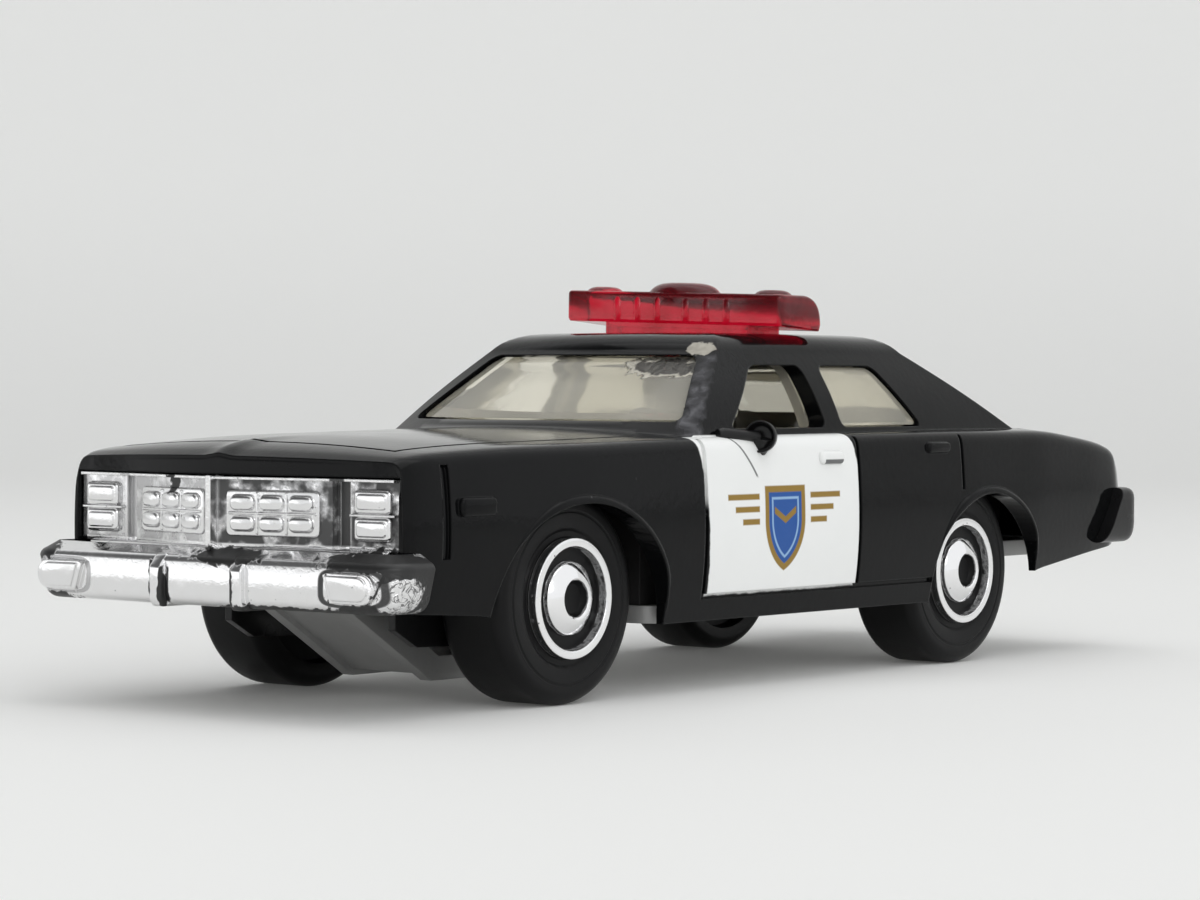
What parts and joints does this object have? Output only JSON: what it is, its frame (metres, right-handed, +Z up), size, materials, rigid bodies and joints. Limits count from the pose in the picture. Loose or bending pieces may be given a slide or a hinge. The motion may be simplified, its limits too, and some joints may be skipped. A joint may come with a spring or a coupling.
{
  "type": "toy police car",
  "caption": "Die-cast toy police sedan with a red roof light, plated grille and bumper, tinted glazing and free-rolling wheels on wire axles.",
  "frame": {"origin": "middle of the length and width, on the plane the tyres stand on", "axes": "+X towards the nose, +Y towards the car's left side, +Z up"},
  "size_m": [0.0772, 0.027, 0.0238],
  "materials": {
    "paint": "gloss black paint over zinc, white on the front doors",
    "base": "satin grey",
    "seats": "matt black",
    "glazing": "clear, amber tint",
    "lamp_red": "clear red moulding",
    "plating": "bright plating on plastic, worn at the edges",
    "bumper_black": "satin black",
    "steel": "drawn wire",
    "wheel_black": "black plastic with bright foil rings"
  },
  "bodies": {
    "car": {"body_shell": "paint", "base_plate": "base", "interior": "seats", "glazing": "glazing", "light_bar": "lamp_red", "front_trim": "plating", "rear_bumper": "bumper_black"},
    "front_axle": {"front_axle": "steel"},
    "rear_axle": {"rear_axle": "steel"},
    "wheel_front_left": {"wheel_front_left": "wheel_black"},
    "wheel_front_right": {"wheel_front_right": "wheel_black"},
    "wheel_rear_left": {"wheel_rear_left": "wheel_black"},
    "wheel_rear_right": {"wheel_rear_right": "wheel_black"}
  },
  "joints": [
    {"name": "front_axle_spin", "type": "hinge", "parent": "car", "child": "front_axle", "pos_m": [0.0213, 0, 0.00585], "axis": [0, 1, 0], "continuous": true},
    {"name": "front_left_wheel_spin", "type": "hinge", "parent": "front_axle", "child": "wheel_front_left", "pos_m": [0.0213, 0, 0.00585], "axis": [0, 1, 0], "continuous": true},
    {"name": "front_right_wheel_spin", "type": "hinge", "parent": "front_axle", "child": "wheel_front_right", "pos_m": [0.0213, 0, 0.00585], "axis": [0, 1, 0], "continuous": true},
    {"name": "rear_axle_spin", "type": "hinge", "parent": "car", "child": "rear_axle", "pos_m": [-0.018, 0, 0.00585], "axis": [0, 1, 0], "continuous": true},
    {"name": "rear_left_wheel_spin", "type": "hinge", "parent": "rear_axle", "child": "wheel_rear_left", "pos_m": [-0.018, 0, 0.00585], "axis": [0, 1, 0], "continuous": true},
    {"name": "rear_right_wheel_spin", "type": "hinge", "parent": "rear_axle", "child": "wheel_rear_right", "pos_m": [-0.018, 0, 0.00585], "axis": [0, 1, 0], "continuous": true}
  ]
}
